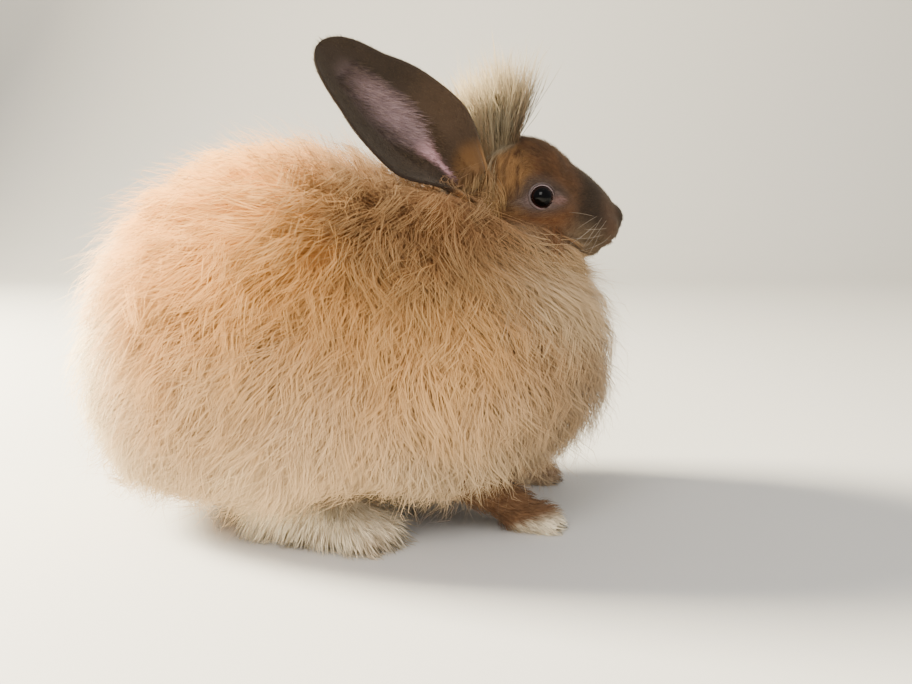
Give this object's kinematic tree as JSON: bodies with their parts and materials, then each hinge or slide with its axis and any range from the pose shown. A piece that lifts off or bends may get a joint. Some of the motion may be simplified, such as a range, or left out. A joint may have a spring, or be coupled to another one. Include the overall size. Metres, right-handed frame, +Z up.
{
  "type": "angora rabbit model",
  "caption": "Still, life-size model of a sitting angora rabbit with a deep fawn fleece, short-haired brown face and ears laid back.",
  "frame": {"origin": "on the floor, under the centre of the box that holds the coat", "axes": "+X from the tail to the nose, +Y to the rabbit's left, +Z up"},
  "size_m": [0.3436, 0.2354, 0.2933],
  "materials": {
    "fawn_wool": "soft matt wool",
    "brown_fur": "short soft fur",
    "cream_wool": "soft matt wool",
    "eye": "wet gloss"
  },
  "bodies": {
    "root": {"torso": "fawn_wool", "neck": "fawn_wool", "tail": "fawn_wool", "head": "brown_fur", "ear_left": "brown_fur", "ear_right": "brown_fur", "foreleg_left": "brown_fur", "foreleg_right": "brown_fur", "hind_leg_left": "cream_wool", "hind_leg_right": "cream_wool", "eye_left": "eye", "eye_right": "eye"}
  },
  "joints": []
}
